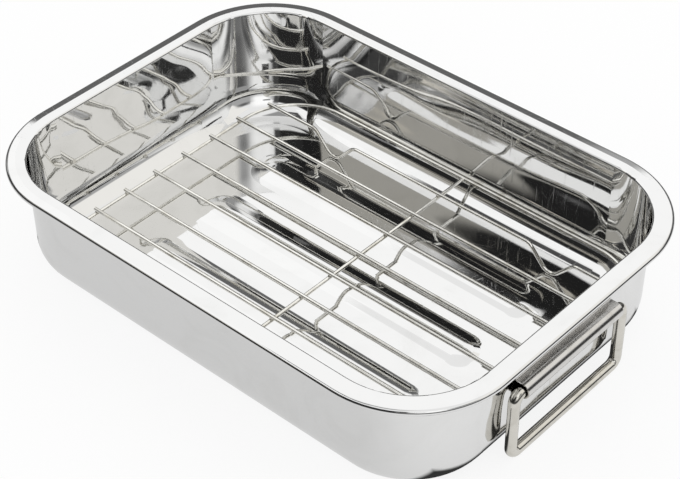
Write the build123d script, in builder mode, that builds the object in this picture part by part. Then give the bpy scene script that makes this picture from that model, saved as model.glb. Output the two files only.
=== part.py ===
from math import atan2, cos, radians, sin, sqrt
import os

from build123d import *

# Stainless steel roasting pan with a lift-out wire rack and two folding wire handles.
# The origin is on the ground under the middle of the pan. X runs along the pan from one
# handle to the other, Y across it and Z up. All sizes are in millimetres.

# Pan
mouth_length = 340.0
mouth_width = 241.0
mouth_corner_radius = 52.5
pan_height = 77.8
sheet = 0.6
wall_lean = 1.0
base_bend_radius = 20.5
mouth_bend_radius = 1.4
flange_flat = 6.6
flange_slope = 4.4
flange_drop = 0.3
flange_bend_radius = 12.0
bead_radius = 2.0
bead_turn_angle = 250.0

# Ribs pressed up out of the pan's base
rib_count = 3
rib_pitch = 56.0
rib_length = 230.0
rib_width = 31.0
rib_height = 2.5
rib_flank_angle = 76.0
rib_blend_radius = 25.0

# Handle brackets, each a strip welded to an end wall, with a round channel pressed in it
bracket_sheet = 0.8
bracket_length = 88.0
bracket_height = 28.0
bracket_corner_radius = 4.0
bracket_bend_radius = 1.2
channel_height = 49.5
channel_inner_radius = 4.5
channel_reach = 5.6

# Handles, each a round wire bent to a rectangle whose two ends lie inside the channel
handle_wire = 7.0
handle_span = 100.0
handle_depth = 44.6
handle_bend_radius = 5.5
handle_end_gap = 12.0
handle_seat_gap = 0.3

# Rack
rack_wire = 2.5
rack_length = 306.5
rack_width = 235.2
rack_corner_radius = 45.5
rack_shift = 8.5
rack_seat_gap = 0.3
long_wire_pitch = 25.9
straight_wire_count = 6
long_wire_overhang = 0.8
weld_bite = 0.1
foot_pitch = 179.4
foot_depth = 14.75
foot_top_width = 34.0
foot_bottom_width = 7.0
foot_bend_radius = 7.0

# Places worked out from the sizes above
half_mouth_length = mouth_length / 2
half_mouth_width = mouth_width / 2
lean_angle = atan2(wall_lean, pan_height - sheet)
base_inset = wall_lean + base_bend_radius
rib_hollow_inset = sheet * (1 - sin(radians(rib_flank_angle))) / cos(radians(rib_flank_angle))
channel_wall_lean = wall_lean * (pan_height - channel_height) / (pan_height - sheet)
channel_wall_x = half_mouth_length - channel_wall_lean + sheet / cos(lean_angle)
hinge_x = channel_wall_x + channel_reach
hinge_height = channel_height - (channel_inner_radius - handle_wire / 2 - handle_seat_gap)
long_wire_height = sheet + rack_seat_gap + rack_wire / 2 + foot_depth
long_wire_length = rack_length + 2 * long_wire_overhang
long_wire_start = rack_shift - long_wire_length / 2
ring_height = long_wire_height - rack_wire + weld_bite
half_ring_length = (rack_length - rack_wire) / 2
half_ring_width = (rack_width - rack_wire) / 2
cross_wire_length = rack_width - 2 * rack_wire + 2 * weld_bite
foot_wire_y = (straight_wire_count + 1) / 2 * long_wire_pitch
ring_corner_rise = foot_wire_y - (half_ring_width - rack_corner_radius)
ring_corner_run = sqrt(rack_corner_radius**2 - ring_corner_rise**2)
foot_wire_end = half_ring_length - rack_corner_radius + ring_corner_run + rack_wire / 2 + long_wire_overhang

os.makedirs("parts", exist_ok=True)

# Pan: a bent section carried round the mouth makes the walls, flange and rolled bead
with BuildPart() as pan:
    with BuildLine(Plane.XY) as mouth:
        mouth_end = Line((half_mouth_length, 0), (half_mouth_length, half_mouth_width - mouth_corner_radius))
        mouth_corner = JernArc(mouth_end @ 1, mouth_end % 1, mouth_corner_radius, 90)
        Line(mouth_corner @ 1, (0, half_mouth_width))
        mirror(about=Plane.YZ)
        mirror(about=Plane.XZ)
    with BuildSketch(Plane.XZ):
        with BuildLine():
            upper_face = FilletPolyline(
                (half_mouth_length - base_inset, sheet),
                (half_mouth_length - wall_lean, sheet),
                (half_mouth_length, pan_height),
                (half_mouth_length + flange_flat, pan_height),
                (half_mouth_length + flange_flat + flange_slope, pan_height - flange_drop),
                radius=[base_bend_radius, mouth_bend_radius, flange_bend_radius],
            )
            JernArc(upper_face @ 1, upper_face % 1, bead_radius, -bead_turn_angle)
            offset(amount=sheet, side=Side.RIGHT)
        make_face()
    sweep(path=mouth.wire())

    # Flat base inside the bends
    with BuildSketch(Plane.XY):
        RectangleRounded(
            mouth_length - 2 * base_inset,
            mouth_width - 2 * base_inset,
            mouth_corner_radius - base_inset,
        )
    extrude(amount=sheet)

    # Ribs, raised inside the pan and hollow beneath it
    with BuildSketch(Plane.XY.offset(sheet)):
        with GridLocations(0, rib_pitch, 1, rib_count):
            SlotOverall(rib_length, rib_width)
    extrude(amount=rib_height, taper=rib_flank_angle)
    rib_edges = pan.edges(Select.LAST).group_by(Axis.Z)
    fillet(rib_edges[0] + rib_edges[-1], rib_blend_radius)
    with BuildSketch(Plane.XY):
        with GridLocations(0, rib_pitch, 1, rib_count):
            SlotOverall(rib_length - 2 * rib_hollow_inset, rib_width - 2 * rib_hollow_inset)
    extrude(amount=rib_height, taper=rib_flank_angle, mode=Mode.SUBTRACT)
    fillet(pan.edges(Select.LAST).group_by(Axis.Z)[-1], rib_blend_radius - sheet)
    fillet(pan.faces().sort_by(Axis.Z)[0].inner_wires().edges(), rib_blend_radius + sheet)
pan.part.label = "pan"
export_step(pan.part, "parts/pan.step")

# Handle brackets: flat on the end wall above and below the half-round channel
for side, way in (("left", -1), ("right", 1)):
    channel_plane = Plane(
        origin=(way * channel_wall_x, way * bracket_length / 2, channel_height),
        x_dir=(way * cos(lean_angle), 0, -sin(lean_angle)),
        z_dir=(0, -way, 0),
    )
    with BuildPart() as bracket:
        with BuildSketch(channel_plane):
            with BuildLine():
                upper_face = FilletPolyline(
                    (0, bracket_height / 2),
                    (0, channel_inner_radius),
                    (channel_reach, channel_inner_radius),
                    radius=bracket_bend_radius + bracket_sheet,
                )
                channel_arc = JernArc(upper_face @ 1, upper_face % 1, channel_inner_radius, -180)
                FilletPolyline(
                    channel_arc @ 1,
                    (0, -channel_inner_radius),
                    (0, -bracket_height / 2),
                    radius=bracket_bend_radius + bracket_sheet,
                )
                offset(amount=bracket_sheet, side=Side.LEFT)
            make_face()
        extrude(amount=bracket_length)
        across_sheet = bracket.edges().filter_by(Axis((0, 0, 0), channel_plane.x_dir)).group_by(Axis.Z)
        fillet(across_sheet[0] + across_sheet[-1], bracket_corner_radius)
    bracket.part.label = f"handle_bracket_{side}"
    export_step(bracket.part, f"parts/handle_bracket_{side}.step")

# Handles, hanging straight down from the channels
for side, way in (("left", -1), ("right", 1)):
    with BuildPart() as handle:
        with BuildLine(Plane((way * hinge_x, 0, hinge_height), x_dir=(0, 1, 0), z_dir=(1, 0, 0))) as bail:
            FilletPolyline(
                (-handle_end_gap / 2, 0),
                (-handle_span / 2, 0),
                (-handle_span / 2, -handle_depth),
                (handle_span / 2, -handle_depth),
                (handle_span / 2, 0),
                (handle_end_gap / 2, 0),
                radius=handle_bend_radius,
            )
        with BuildSketch(Plane(bail.line @ 0, z_dir=bail.line % 0)):
            Circle(handle_wire / 2)
        sweep(path=bail.line)
    handle.part.label = f"handle_{side}"
    export_step(handle.part, f"parts/handle_{side}.step")

# Rack: the ring of wire round its edge
rack_centre = Plane((rack_shift, 0, 0))
with BuildPart() as rack_frame:
    with BuildLine(rack_centre.offset(ring_height)) as ring:
        ring_end = Line((half_ring_length, 0), (half_ring_length, half_ring_width - rack_corner_radius))
        ring_corner = JernArc(ring_end @ 1, ring_end % 1, rack_corner_radius, 90)
        Line(ring_corner @ 1, (0, half_ring_width))
        mirror(about=Plane((rack_shift, 0, 0), z_dir=(1, 0, 0)))
        mirror(about=Plane.XZ)
    with BuildSketch(Plane((rack_shift + half_ring_length, 0, ring_height), z_dir=(0, 1, 0))):
        Circle(rack_wire / 2)
    sweep(path=ring.wire())
rack_frame.part.label = "rack_frame"
export_step(rack_frame.part, "parts/rack_frame.step")

# Rack: straight wires lying along it on top of the ring
for number in range(1, straight_wire_count + 1):
    wire_y = (number - (straight_wire_count + 1) / 2) * long_wire_pitch
    with BuildPart() as straight_wire:
        with BuildSketch(Plane((long_wire_start, wire_y, long_wire_height), z_dir=(1, 0, 0))):
            Circle(rack_wire / 2)
        extrude(amount=long_wire_length)
    straight_wire.part.label = f"rack_wire_{number}"
    export_step(straight_wire.part, f"parts/rack_wire_{number}.step")

# Rack: the outer wire on each side, bent down into two feet
for side, way in (("front", -1), ("back", 1)):
    foot_plane = Plane((rack_shift, way * foot_wire_y, long_wire_height), x_dir=(1, 0, 0), z_dir=(0, -1, 0))
    with BuildPart() as foot_wire:
        with BuildLine(foot_plane) as bends:
            FilletPolyline(
                (-foot_wire_end, 0),
                (-foot_pitch / 2 - foot_top_width / 2, 0),
                (-foot_pitch / 2 - foot_bottom_width / 2, -foot_depth),
                (-foot_pitch / 2 + foot_bottom_width / 2, -foot_depth),
                (-foot_pitch / 2 + foot_top_width / 2, 0),
                (foot_pitch / 2 - foot_top_width / 2, 0),
                (foot_pitch / 2 - foot_bottom_width / 2, -foot_depth),
                (foot_pitch / 2 + foot_bottom_width / 2, -foot_depth),
                (foot_pitch / 2 + foot_top_width / 2, 0),
                (foot_wire_end, 0),
                radius=foot_bend_radius,
            )
        with BuildSketch(Plane(bends.line @ 0, z_dir=bends.line % 0)):
            Circle(rack_wire / 2)
        sweep(path=bends.line)
    foot_wire.part.label = f"rack_foot_wire_{side}"
    export_step(foot_wire.part, f"parts/rack_foot_wire_{side}.step")

# Rack: one wire beneath the long ones, across the middle of the ring
with BuildPart() as rack_cross_wire:
    with BuildSketch(Plane((rack_shift, -cross_wire_length / 2, ring_height), z_dir=(0, 1, 0))):
        Circle(rack_wire / 2)
    extrude(amount=cross_wire_length)
rack_cross_wire.part.label = "rack_cross_wire"
export_step(rack_cross_wire.part, "parts/rack_cross_wire.step")
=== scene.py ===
from math import cos, radians, sin, tan

import bpy
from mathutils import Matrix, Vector


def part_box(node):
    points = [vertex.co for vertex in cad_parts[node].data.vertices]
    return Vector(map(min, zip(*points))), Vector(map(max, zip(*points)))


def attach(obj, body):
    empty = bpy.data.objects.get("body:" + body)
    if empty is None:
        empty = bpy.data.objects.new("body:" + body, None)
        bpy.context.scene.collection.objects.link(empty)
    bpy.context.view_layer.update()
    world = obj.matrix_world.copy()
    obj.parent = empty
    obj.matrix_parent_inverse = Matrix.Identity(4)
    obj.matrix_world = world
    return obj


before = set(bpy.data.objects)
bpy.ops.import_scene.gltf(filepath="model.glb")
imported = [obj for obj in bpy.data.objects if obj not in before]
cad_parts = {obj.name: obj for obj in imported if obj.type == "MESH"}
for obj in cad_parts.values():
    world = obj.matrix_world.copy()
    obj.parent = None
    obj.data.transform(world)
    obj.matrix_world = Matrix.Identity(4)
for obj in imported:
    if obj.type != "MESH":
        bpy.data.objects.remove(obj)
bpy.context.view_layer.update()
bpy.ops.object.select_all(action="DESELECT")

# Camera
# The photograph is taken with a long lens from above the pan's near right corner, so
# the right handle is nearest and the far left corner is furthest away.
camera_data = bpy.data.cameras.new("camera")
camera_data.lens = 98.984
camera_data.clip_start = 0.05
camera_data.clip_end = 30
camera = bpy.data.objects.new("camera", camera_data)
camera.location = (0.58665, -0.64874, 0.76171)
camera.rotation_euler = (0.874940, 0.003970, 0.727664)
bpy.context.scene.collection.objects.link(camera)
bpy.context.scene.camera = camera

# Table and light tent
# A white table in an evenly lit white tent. Polished steel shows only what stands round
# it, so the tent has bright sheets and dark gaps, which the steel alone sees.


def add_node(tree, kind, **settings):
    """Add a node to a tree, with its named properties set."""
    node = tree.nodes.new(kind)
    for setting, value in settings.items():
        setattr(node, setting, value)
    return node


def new_material(name):
    """Start a material, and give it with its tree of nodes."""
    material = bpy.data.materials.new(name)
    material.use_nodes = True
    return material, material.node_tree


def reckon(tree, operation, *terms):
    """Work out a sum over the surface from values and plain numbers."""
    node = add_node(tree, "ShaderNodeMath", operation=operation)
    for socket, term in zip(node.inputs, terms):
        if isinstance(term, bpy.types.NodeSocket):
            tree.links.new(term, socket)
        else:
            socket.default_value = term
    return node.outputs["Value"]


def ease(tree, value, start, end, first=0.0, last=1.0):
    """Ease from the first level to the last while a value goes from start to end."""
    node = add_node(tree, "ShaderNodeMapRange", interpolation_type="SMOOTHSTEP")
    tree.links.new(value, node.inputs["Value"])
    node.inputs["From Min"].default_value = start
    node.inputs["From Max"].default_value = end
    node.inputs["To Min"].default_value = first
    node.inputs["To Max"].default_value = last
    return node.outputs["Result"]


def past(tree, value, reach):
    """How far a value lies past a reach, on either side of nought."""
    return reckon(tree, "SUBTRACT", reckon(tree, "ABSOLUTE", value), reach)


def object_axes(tree):
    """X, Y and Z of each place on a surface, in Object coordinates."""
    axes = add_node(tree, "ShaderNodeSeparateXYZ")
    place = add_node(tree, "ShaderNodeTexCoord")
    tree.links.new(place.outputs["Object"], axes.inputs["Vector"])
    return axes.outputs


def blend_tone(tree, share, first, second):
    """Blend two tones by a share. Each is a plain colour or one worked out before."""
    node = add_node(tree, "ShaderNodeMix", data_type="RGBA")
    tree.links.new(share, node.inputs["Factor"])
    # The node's inputs 6 and 7 and its output 2 are those for colours.
    for socket, tone in ((node.inputs[6], first), (node.inputs[7], second)):
        if isinstance(tone, bpy.types.NodeSocket):
            tree.links.new(tone, socket)
        else:
            socket.default_value = (*tone, 1)
    return node.outputs[2]


def blend_surface(tree, share, first, second):
    """Blend two shaders by a share, and make the blend the material's surface."""
    node = add_node(tree, "ShaderNodeMixShader")
    tree.links.new(share, node.inputs["Fac"])
    tree.links.new(first, node.inputs[1])
    tree.links.new(second, node.inputs[2])
    tree.links.new(node.outputs["Shader"], tree.nodes["Material Output"].inputs["Surface"])


bpy.context.scene.view_settings.view_transform = "Standard"
tent_world = bpy.data.worlds.new("light_tent")
bpy.context.scene.world = tent_world
tent_world.use_nodes = True
tent_light = tent_world.node_tree.nodes["Background"]
tent_light.inputs["Color"].default_value = (1.0, 1.0, 1.0, 1)
tent_light.inputs["Strength"].default_value = 1.0

# The steel sees the table brighter past the pan's right end, dark far off, and dark in the
# pan's own shade. The camera sees it white.
rim_reach = 0.0128
shade_past_end = 0.005
shade_inside_wall = 0.015
shade_edge = 0.008
table_glow = 0.86
_, pan_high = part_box("pan")
shade_x = pan_high[0] - rim_reach + shade_past_end
shade_y = pan_high[1] - rim_reach - shade_inside_wall
bpy.ops.mesh.primitive_plane_add(size=16, location=(0, 0, 0))
table_top = bpy.context.object
table_top.name = "studio_table"
table_paint, table = new_material("studio_table_white")
table_paint.cycles.emission_sampling = "NONE"
table_matt = table.nodes["Principled BSDF"]
table_matt.inputs["Roughness"].default_value = 0.9
table_matt.inputs["Specular IOR Level"].default_value = 0.0
table_axes = object_axes(table)
table_spread = add_node(table, "ShaderNodeVectorMath", operation="LENGTH")
table_place = add_node(table, "ShaderNodeTexCoord")
table.links.new(table_place.outputs["Object"], table_spread.inputs[0])
table_side = ease(table, table_axes["X"], start=0.10, end=0.22, first=0.76, last=0.92)
table_far = ease(table, table_spread.outputs["Value"], start=0.31, end=0.58, first=1.0, last=0.08)
beyond_pan = reckon(
    table, "MAXIMUM", past(table, table_axes["X"], shade_x), past(table, table_axes["Y"], shade_y)
)
table_shade = ease(table, beyond_pan, start=-shade_edge, end=0.0, first=0.05, last=1.0)
table_seen = reckon(table, "MULTIPLY", table_side, table_far)
table_seen = reckon(table, "MULTIPLY", table_seen, table_shade)
table_rays = add_node(table, "ShaderNodeLightPath").outputs
table_light = add_node(table, "ShaderNodeEmission")
for white, socket in ((0.97, table_matt.inputs["Base Color"]), (1.0, table_light.inputs["Color"])):
    table_tone = blend_tone(table, table_rays["Is Glossy Ray"], (white, white, white), table_seen)
    table.links.new(table_tone, socket)
table_direct = reckon(table, "MAXIMUM", table_rays["Is Camera Ray"], table_rays["Is Glossy Ray"])
blend_surface(
    table,
    reckon(table, "MULTIPLY", table_direct, table_glow),
    table_matt.outputs["BSDF"],
    table_light.outputs["Emission"],
)
table_top.data.materials.append(table_paint)


def tent_sheet(
    name, azimuth, elevation, width, height, level, softness, tint=(1, 1, 1), distance=6.0
):
    """Hang a sheet in one direction from the pan, as wide and high as the angles it fills.
    Softness is the share of the sheet over which each of its edges fades."""
    towards = Vector((
        cos(radians(azimuth)) * cos(radians(elevation)),
        sin(radians(azimuth)) * cos(radians(elevation)),
        sin(radians(elevation)),
    ))
    bpy.ops.mesh.primitive_plane_add(size=1)
    sheet = bpy.context.object
    sheet.name = name
    sheet.scale = (
        2 * distance * tan(radians(width / 2)),
        2 * distance * tan(radians(height / 2)),
        1,
    )
    sheet.rotation_euler = (radians(90 + elevation), 0, radians(azimuth - 90))
    sheet.location = towards * distance
    sheet.visible_camera = False
    sheet.visible_diffuse = False
    sheet.visible_shadow = False
    sheet.visible_transmission = False
    sheet.visible_volume_scatter = False
    cloth, tree = new_material(name)
    cloth.cycles.emission_sampling = "NONE"
    tree.nodes.remove(tree.nodes["Principled BSDF"])
    glow = add_node(tree, "ShaderNodeEmission")
    glow.inputs["Color"].default_value = (*tint, 1)
    glow.inputs["Strength"].default_value = level
    clear = add_node(tree, "ShaderNodeBsdfTransparent")
    place = add_node(tree, "ShaderNodeTexCoord")
    axes = add_node(tree, "ShaderNodeSeparateXYZ")
    tree.links.new(place.outputs["UV"], axes.inputs["Vector"])
    across, upward = (
        ease(tree, reckon(tree, "PINGPONG", axes.outputs[axis], 0.5), start=0.0, end=softness)
        for axis in ("X", "Y")
    )
    blend_surface(
        tree,
        reckon(tree, "MULTIPLY", across, upward),
        clear.outputs["BSDF"],
        glow.outputs["Emission"],
    )
    sheet.data.materials.append(cloth)


# Each sheet below gives its azimuth, elevation, width and height in degrees, then how
# bright it is and its softness. Where two sheets overlap, the nearer one hides the other.
warm_white = (1.0, 0.985, 0.95)

# Bright sheets, each hung at its own height round the pan.
tent_sheet("tent_back_left", 122, 47, 58, 31.5, 1.16, 0.05)
tent_sheet("tent_back", 178, 47.5, 58, 26, 1.20, 0.05)
tent_sheet("tent_left", 222, 54, 36, 19, 1.15, 0.06)
tent_sheet("tent_right", 33, 42, 44, 40, 1.04, 0.12, tint=warm_white)
tent_sheet("tent_back_right", 74, 46, 44, 32, 1.04, 0.12, tint=warm_white)
tent_sheet("tent_beside_camera", 328, 35, 36, 58, 1.25, 0.34, distance=5.6)
# Dark gaps between the sheets, where the room shows.
tent_sheet("tent_gap_right", 359, 36, 28, 18, 0.12, 0.46, distance=5.8)
tent_sheet("tent_gap_camera", 304, 33, 11, 50, 0.08, 0.35, distance=5.2)
tent_sheet("tent_gap_beside_camera", 319, 35.8, 11, 5, 0.05, 0.22, distance=5.0)
tent_sheet("tent_gap_front_right", 278, 25, 46, 50, 0.03, 0.12, distance=5.4)
tent_sheet("tent_gap_front_left", 247, 26, 28, 47, 0.02, 0.10, distance=5.3)
tent_sheet("tent_gap_left", 213, 38.4, 34, 12, 0.47, 0.08, tint=(1.0, 0.97, 0.89), distance=5.1)
tent_sheet("tent_gap_left_low", 214, 18, 60, 30, 0.05, 0.06, distance=5.5)
tent_sheet("tent_gap_back", 134, 17.8, 100, 27.6, 0.15, 0.03, distance=5.7)
tent_sheet("tent_gap_far_right", 62, 12, 96, 14, 0.05, 0.10, distance=5.7)
tent_sheet("tent_gap_back_right", 88, 20, 50, 24, 0.17, 0.10, distance=5.65)
tent_sheet("tent_gap_over_back", 180, 64, 16, 9, 0.08, 0.15, distance=5.6)
tent_sheet("tent_gap_over_left", 216, 70, 20, 11, 0.08, 0.15, distance=5.6)
tent_sheet("tent_gap_above", 190, 80, 26, 22, 0.35, 0.20, distance=5.0)
# The room's walls and its floor, all the way round behind the sheets.
for azimuth in range(0, 360, 30):
    tent_sheet(f"tent_room_{azimuth}", azimuth, 21, 44, 34, 0.45, 0.10, distance=7.0)
    tent_sheet(f"tent_foot_{azimuth}", azimuth, 3, 40, 14, 0.08, 0.15, distance=6.5)
# Narrow lit slits across the darkest gap, which the waves of the far wall draw out.
slit_tint = (1.0, 0.95, 0.84)
tent_sheet("tent_slit_1", 238, 33.4, 26, 1.3, 0.95, 0.20, tint=slit_tint, distance=5.05)
tent_sheet("tent_slit_2", 238, 36.3, 26, 0.8, 0.6, 0.20, tint=slit_tint, distance=5.05)
tent_sheet("tent_slit_3", 238, 30.0, 26, 1.0, 0.5, 0.20, tint=slit_tint, distance=5.05)

# Pan
# One sheet of stainless steel, drawn to an oblong tray and mirror polished. Drawing leaves
# its walls slightly wavy, and the waves bend every reflection in them.


def new_effect(name, inputs, output):
    """Start a shared effect: a node group with named inputs and one named output."""
    group = bpy.data.node_groups.new(name, "ShaderNodeTree")
    for label, kind in inputs.items():
        group.interface.new_socket(label, in_out="INPUT", socket_type=f"NodeSocket{kind}")
    group.interface.new_socket(output, in_out="OUTPUT", socket_type="NodeSocketFloat")
    given = add_node(group, "NodeGroupInput").outputs
    result = add_node(group, "NodeGroupOutput").inputs[output]
    return group, given, result


def sized(group, place, operation, size):
    """Stretch or shrink the places that a pattern is drawn at."""
    node = add_node(group, "ShaderNodeVectorMath", operation=operation)
    group.links.new(place, node.inputs[0])
    group.links.new(size, node.inputs[1])
    return node.outputs["Vector"]


def noise(group, place, detail, grain, distortion=0.0):
    """Cloudy noise with one cloud to each unit of place."""
    node = add_node(group, "ShaderNodeTexNoise")
    node.inputs["Scale"].default_value = 1.0
    node.inputs["Detail"].default_value = detail
    node.inputs["Roughness"].default_value = grain
    node.inputs["Distortion"].default_value = distortion
    group.links.new(place, node.inputs["Vector"])
    return node.outputs["Fac"]


# Slow waves that drawing leaves in thin sheet: one broad set and one finer set. Their sizes
# are along X, Y and Z.
drawn_waves, given, result = new_effect(
    "drawn_waves",
    {
        "Place": "Vector",
        "Broad Size": "Vector",
        "Broad Height": "Float",
        "Fine Size": "Vector",
        "Fine Height": "Float",
    },
    "Height",
)
wave_rises = []
for wave_set in ("Broad", "Fine"):
    wave_place = sized(drawn_waves, given["Place"], "DIVIDE", given[f"{wave_set} Size"])
    wave_cloud = noise(drawn_waves, wave_place, detail=0.0, grain=0.35, distortion=0.5)
    wave_rises.append(reckon(drawn_waves, "MULTIPLY", wave_cloud, given[f"{wave_set} Height"]))
drawn_waves.links.new(reckon(drawn_waves, "ADD", *wave_rises), result)

# Cloudy smears that a polishing cloth or a wet hand leaves on bright steel.
cloth_smears, given, result = new_effect(
    "cloth_smears", {"Place": "Vector", "Size": "Vector"}, "Smears"
)
smear_place = sized(cloth_smears, given["Place"], "DIVIDE", given["Size"])
smear_cloud = noise(cloth_smears, smear_place, detail=5.0, grain=0.6, distortion=1.6)
cloth_smears.links.new(ease(cloth_smears, smear_cloud, start=0.45, end=0.72), result)

# Fine lines that run one way along the metal, from a polishing belt or a drawing die. The
# stretch is how many lines fit in a metre along X, Y and Z.
polish_lines, given, result = new_effect(
    "polish_lines", {"Place": "Vector", "Stretch": "Vector"}, "Lines"
)
line_place = sized(polish_lines, given["Place"], "MULTIPLY", given["Stretch"])
polish_lines.links.new(noise(polish_lines, line_place, detail=2.0, grain=0.6), result)

# Sparse hairline scratches that cross one another, each a short thread of stretched noise.
# Before it is turned, a thread's length runs along X, its width along Y and its height up Z.
hair_width = 0.0006
hair_height = 0.0200
hairlines, given, result = new_effect(
    "hairline_scratches", {"Place": "Vector", "Length": "Float"}, "Scratches"
)
hair_size = add_node(hairlines, "ShaderNodeCombineXYZ")
hairlines.links.new(given["Length"], hair_size.inputs["X"])
hair_size.inputs["Y"].default_value = hair_width
hair_size.inputs["Z"].default_value = hair_height
hairs = 0.0
for angle in (25, 110, 160):
    hair_turn = add_node(hairlines, "ShaderNodeVectorRotate", rotation_type="Z_AXIS")
    hair_turn.inputs["Angle"].default_value = radians(angle)
    hairlines.links.new(given["Place"], hair_turn.inputs["Vector"])
    hair_place = sized(
        hairlines, hair_turn.outputs["Vector"], "DIVIDE", hair_size.outputs["Vector"]
    )
    thread = noise(hairlines, hair_place, detail=0.0, grain=0.5)
    hairs = reckon(hairlines, "MAXIMUM", ease(hairlines, thread, start=0.74, end=0.82), hairs)
hairlines.links.new(hairs, result)


def place_effect(tree, group, place, **values):
    """Place a shared effect in a material, fed with Object coordinates and its own values."""
    node = add_node(tree, "ShaderNodeGroup", node_tree=group)
    tree.links.new(place, node.inputs["Place"])
    for name, value in values.items():
        node.inputs[name.replace("_", " ").title()].default_value = value
    return node.outputs[0]


def steel_finish(name, bright, dull, roughness, smear, line, scratch, wave):
    """Bright steel in two tones. smear, line and scratch each give the roughness they add and
    their size, stretch or length, and the last two their depth. wave gives two sizes, each
    with its height."""
    smear_rough, smear_size = smear
    line_rough, line_stretch, line_depth = line
    scratch_rough, scratch_length, scratch_depth = scratch
    broad_size, broad_height, fine_size, fine_height = wave
    material, tree = new_material(name)
    steel = tree.nodes["Principled BSDF"]
    steel.inputs["Metallic"].default_value = 1.0
    place = add_node(tree, "ShaderNodeTexCoord").outputs["Object"]
    smears = place_effect(tree, cloth_smears, place, size=smear_size)
    lines = place_effect(tree, polish_lines, place, stretch=line_stretch)
    scratches = place_effect(tree, hairlines, place, length=scratch_length)
    waves = place_effect(
        tree,
        drawn_waves,
        place,
        broad_size=broad_size,
        broad_height=broad_height,
        fine_size=fine_size,
        fine_height=fine_height,
    )
    rough = reckon(tree, "MULTIPLY_ADD", smears, smear_rough, roughness)
    rough = reckon(tree, "MULTIPLY_ADD", lines, line_rough, rough)
    rough = reckon(tree, "MULTIPLY_ADD", scratches, scratch_rough, rough)
    tree.links.new(rough, steel.inputs["Roughness"])
    tree.links.new(blend_tone(tree, smears, bright, dull), steel.inputs["Base Color"])
    height = reckon(tree, "MULTIPLY_ADD", lines, line_depth, waves)
    height = reckon(tree, "MULTIPLY_ADD", scratches, -scratch_depth, height)
    relief = add_node(tree, "ShaderNodeBump")
    relief.inputs["Distance"].default_value = 1.0
    tree.links.new(height, relief.inputs["Height"])
    tree.links.new(relief.outputs["Normal"], steel.inputs["Normal"])
    return material, tree, steel, relief


def refeed(tree, socket, value):
    """Feed a socket from a value that was worked out from what fed it before."""
    tree.links.remove(socket.links[0])
    tree.links.new(value, socket)


def diagonal(tree, first, second):
    """The length of the diagonal between two distances at right angles."""
    squares = [reckon(tree, "POWER", distance, 2.0) for distance in (first, second)]
    return reckon(tree, "SQRT", reckon(tree, "ADD", *squares))


def coat(node, material):
    """Give a CAD node its material."""
    node.data.materials.clear()
    node.data.materials.append(material)


pan_steel, pan_tree, pan_shader, pan_relief = steel_finish(
    "pan_steel",
    bright=(0.785, 0.785, 0.780),
    dull=(0.755, 0.755, 0.748),
    roughness=0.022,
    smear=(0.035, (0.050, 0.050, 0.050)),
    line=(0.015, (60, 60, 900), 0.0),
    scratch=(0.10, 0.030, 0.0),
    wave=((0.150, 0.085, 0.075), 0.0036, (0.120, 0.060, 0.024), 0.0006),
)
# The waves are weak in the base, at the rim and round the corners, where the sheet is stiff.
corner_radius = 0.0525
corner_x = pan_high[0] - rim_reach - corner_radius
corner_y = pan_high[1] - rim_reach - corner_radius
pan_axes = object_axes(pan_tree)
wall_share = ease(pan_tree, pan_axes["Z"], start=0.008, end=0.036, first=0.05, last=1.0)
rim_share = ease(pan_tree, pan_axes["Z"], start=0.058, end=0.077, first=1.0, last=0.12)
past_x = past(pan_tree, pan_axes["X"], corner_x)
past_y = past(pan_tree, pan_axes["Y"], corner_y)
into_corner = reckon(pan_tree, "MINIMUM", past_x, past_y)
corner_share = ease(pan_tree, into_corner, start=-0.010, end=0.015, first=1.0, last=0.25)
wave_share = reckon(pan_tree, "MULTIPLY", wall_share, rim_share)
wave_share = reckon(pan_tree, "MULTIPLY", wave_share, corner_share)
pan_tree.links.new(wave_share, pan_relief.inputs["Strength"])

# Painted shade: a thin dark band round each handle bracket, where the strip meets the wall,
# on the end walls' outer faces only. The band is also made a little rougher.
seam_width = 0.0024
seam_full_width = 0.6 * seam_width
seam_shade_cover = 0.9
seam_shade_tone = (0.10, 0.098, 0.09)
seam_roughness = 0.3
bracket_corner = 0.004
wall_inner_x = 0.16988
wall_outer_x = 0.17000
bracket_low, bracket_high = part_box("handle_bracket_right")
bracket_middle = (bracket_low[2] + bracket_high[2]) / 2
straight_y = bracket_high[1] - bracket_corner
straight_z = (bracket_high[2] - bracket_low[2]) / 2 - bracket_corner
seam_y = past(pan_tree, pan_axes["Y"], straight_y)
seam_z = past(pan_tree, reckon(pan_tree, "SUBTRACT", pan_axes["Z"], bracket_middle), straight_z)
seam_gap = diagonal(
    pan_tree,
    reckon(pan_tree, "MAXIMUM", seam_y, 0.0),
    reckon(pan_tree, "MAXIMUM", seam_z, 0.0),
)
# The mask of the painted shade: full next to the bracket's outline, fading out a little further
# off.
seam_shade = ease(
    pan_tree,
    seam_gap,
    start=bracket_corner + seam_full_width,
    end=bracket_corner + seam_width,
    first=seam_shade_cover,
    last=0.0,
)
along = reckon(pan_tree, "ABSOLUTE", pan_axes["X"])
outer_face = ease(pan_tree, along, start=wall_inner_x, end=wall_outer_x)
seam_shade = reckon(pan_tree, "MULTIPLY", seam_shade, outer_face)
# The painted shade darkens the pan's tone in the band round each bracket.
pan_colour = pan_shader.inputs["Base Color"]
pan_tone = pan_colour.links[0].from_socket
refeed(pan_tree, pan_colour, blend_tone(pan_tree, seam_shade, pan_tone, seam_shade_tone))
pan_roughness = pan_shader.inputs["Roughness"]
pan_rough = pan_roughness.links[0].from_socket
refeed(pan_tree, pan_roughness, reckon(pan_tree, "MULTIPLY_ADD", seam_shade, seam_roughness, pan_rough))
coat(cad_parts["pan"], pan_steel)

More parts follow.
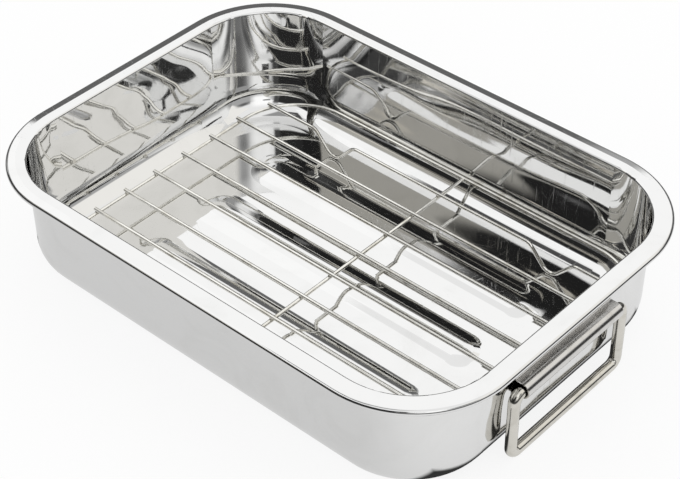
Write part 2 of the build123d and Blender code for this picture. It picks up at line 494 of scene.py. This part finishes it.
# Handle brackets
# A pressed strip of the same steel on each end wall, spot welded above and below the
# round channel that holds the handle's ends. It is brushed and not mirror polished.
bracket_steel, bracket_tree, _, bracket_relief = steel_finish(
    "bracket_steel",
    bright=(0.66, 0.65, 0.635),
    dull=(0.58, 0.565, 0.54),
    roughness=0.11,
    smear=(0.06, (0.018, 0.018, 0.018)),
    line=(0.06, (500, 25, 900), 0.0000006),
    scratch=(0.10, 0.012, 0.000001),
    wave=((0.030, 0.050, 0.030), 0.0001, (0.012, 0.020, 0.012), 0.00002),
)
# Spot welds leave a shallow round dent, two in the tab above the channel and two below.
dent_radius = 0.0022
dent_flat = 0.4 * dent_radius
dent_depth = 0.00012
dent_y = 0.030
dent_z = 0.0106
bracket_axes = object_axes(bracket_tree)
aside_y = past(bracket_tree, bracket_axes["Y"], dent_y)
above_middle = reckon(bracket_tree, "SUBTRACT", bracket_axes["Z"], bracket_middle)
aside_z = past(bracket_tree, above_middle, dent_z)
dent_gap = diagonal(
    bracket_tree,
    reckon(bracket_tree, "ABSOLUTE", aside_y),
    reckon(bracket_tree, "ABSOLUTE", aside_z),
)
dent = ease(bracket_tree, dent_gap, start=dent_flat, end=dent_radius, first=-dent_depth, last=0.0)
bracket_height = bracket_relief.inputs["Height"]
bracket_rise = bracket_height.links[0].from_socket
refeed(bracket_tree, bracket_height, reckon(bracket_tree, "ADD", bracket_rise, dent))
for side in ("left", "right"):
    coat(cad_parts[f"handle_bracket_{side}"], bracket_steel)

# Handles
# A thick stainless wire bent to an oblong, with its two ends sprung into the channel. The
# wire keeps the fine lines of its drawing die and has a slightly warmer tone.
handle_steel, *_ = steel_finish(
    "handle_steel",
    bright=(0.68, 0.66, 0.61),
    dull=(0.56, 0.54, 0.49),
    roughness=0.05,
    smear=(0.07, (0.014, 0.014, 0.014)),
    line=(0.05, (700, 40, 240), 0.000001),
    scratch=(0.12, 0.008, 0.000002),
    wave=((0.020, 0.020, 0.020), 0.0002, (0.007, 0.007, 0.007), 0.00003),
)
for side in ("left", "right"):
    coat(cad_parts[f"handle_{side}"], handle_steel)

# Rack
# Thin bright wires welded to a ring of the same wire. They are polished after welding, so
# each keeps a sharp white highlight between two dark edges.
rack_steel, *_ = steel_finish(
    "rack_steel",
    bright=(0.86, 0.85, 0.81),
    dull=(0.66, 0.64, 0.58),
    roughness=0.02,
    smear=(0.05, (0.022, 0.022, 0.022)),
    line=(0.03, (30, 700, 700), 0.0000006),
    scratch=(0.08, 0.008, 0.000001),
    wave=((0.016, 0.016, 0.016), 0.00006, (0.005, 0.005, 0.005), 0.00001),
)
for name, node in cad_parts.items():
    if name.startswith("rack"):
        coat(node, rack_steel)

# Rack welds
# Where two wires cross they are pressed together hot, and a little metal squeezes out. It
# hugs the long wire above and the ring or the cross wire below, so it has a saddle's shape.
rack_wire = 0.0025
wire_overhang = 0.0008
weld_radius = 0.0016
weld_flatness = 0.45
weld_rise = 0.0004
weld_tip = 0.6 * weld_radius
weld_steel, *_ = steel_finish(
    "weld_steel",
    bright=(0.66, 0.64, 0.59),
    dull=(0.45, 0.42, 0.36),
    roughness=0.12,
    smear=(0.15, (0.003, 0.003, 0.003)),
    line=(0.05, (900, 900, 900), 0.000002),
    scratch=(0.08, 0.004, 0.000001),
    wave=((0.003, 0.003, 0.003), 0.00008, (0.001, 0.001, 0.001), 0.00001),
)
bpy.ops.mesh.primitive_uv_sphere_add(segments=16, ring_count=8, radius=weld_radius)
weld_shape = bpy.context.object
bpy.ops.object.mode_set(mode="EDIT")
bpy.ops.transform.resize(value=(1.0, 1.0, weld_flatness))
# The two tips along X go up and the two along Y go down.
for axis, rise in ((0, weld_rise), (1, -weld_rise)):
    bpy.ops.mesh.select_all(action="DESELECT")
    bpy.ops.object.mode_set(mode="OBJECT")
    for vertex in weld_shape.data.vertices:
        vertex.select = abs(vertex.co[axis]) > weld_tip
    bpy.ops.object.mode_set(mode="EDIT")
    bpy.ops.transform.translate(value=(0, 0, rise))
bpy.ops.object.mode_set(mode="OBJECT")
weld_round = weld_shape.modifiers.new("round", "SUBSURF")
weld_round.levels = 1
bpy.ops.object.modifier_apply(modifier="round")
bpy.ops.object.shade_smooth()
weld_shape.data.materials.append(weld_steel)

end_inset = wire_overhang + rack_wire / 2
cross_low, cross_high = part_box("rack_cross_wire")
cross_x = (cross_low[0] + cross_high[0]) / 2
crossings = []
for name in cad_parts:
    if name.startswith(("rack_wire", "rack_foot_wire")):
        wire_low, wire_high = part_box(name)
        wire_y = (wire_low[1] + wire_high[1]) / 2
        joint_z = wire_high[2] - rack_wire
        for joint_x in (wire_low[0] + end_inset, cross_x, wire_high[0] - end_inset):
            crossings.append((joint_x, wire_y, joint_z))
for number, crossing in enumerate(crossings, start=1):
    bpy.ops.object.select_all(action="DESELECT")
    weld_shape.select_set(True)
    bpy.context.view_layer.objects.active = weld_shape
    bpy.ops.object.duplicate(linked=False)
    weld = bpy.context.object
    weld.name = f"rack_weld_{number}"
    weld.location = crossing
    bpy.ops.object.transform_apply(location=True, rotation=False, scale=False)
    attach(weld, "rack")
bpy.data.objects.remove(weld_shape)
